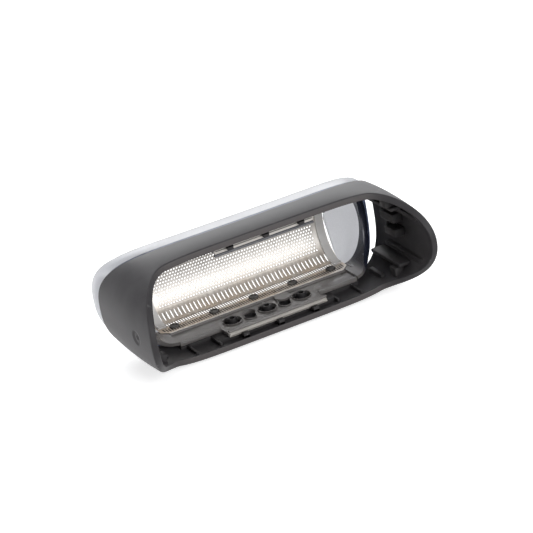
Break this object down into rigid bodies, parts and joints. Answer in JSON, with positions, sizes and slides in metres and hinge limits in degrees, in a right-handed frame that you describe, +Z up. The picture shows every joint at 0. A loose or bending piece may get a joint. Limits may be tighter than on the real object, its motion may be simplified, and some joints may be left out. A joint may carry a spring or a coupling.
{
  "type": "shaver foil head",
  "caption": "Electric shaver foil head: moulded frame with rounded end lobes, bright trim ring, and an arched perforated foil riveted to a clear carrier.",
  "frame": {"origin": "middle of the underside of the whole head's box, as it lies on one long side", "axes": "+X along the head's length, +Y from the opening towards the foil, +Z up across the head's width"},
  "size_m": [0.0602, 0.0288, 0.0221],
  "materials": {
    "charcoal_plastic": "fine matt moulded",
    "silver_plastic": "silver lacquered, glossy",
    "clear_plastic": "clear grey, smooth",
    "foil_steel": "bright nickel, perforated",
    "rivet_steel": "dark satin"
  },
  "bodies": {
    "root": {"outer_frame": "charcoal_plastic", "trim_ring": "silver_plastic", "lower_rail": "clear_plastic", "upper_rail": "clear_plastic", "left_end_loop": "clear_plastic", "right_end_loop": "clear_plastic", "shaver_foil": "foil_steel", "rivet_lower_1": "rivet_steel", "rivet_lower_2": "rivet_steel", "rivet_lower_3": "rivet_steel", "rivet_lower_4": "rivet_steel", "rivet_lower_5": "rivet_steel", "rivet_upper_1": "rivet_steel", "rivet_upper_2": "rivet_steel", "rivet_upper_3": "rivet_steel", "rivet_upper_4": "rivet_steel", "rivet_upper_5": "rivet_steel"}
  },
  "joints": []
}
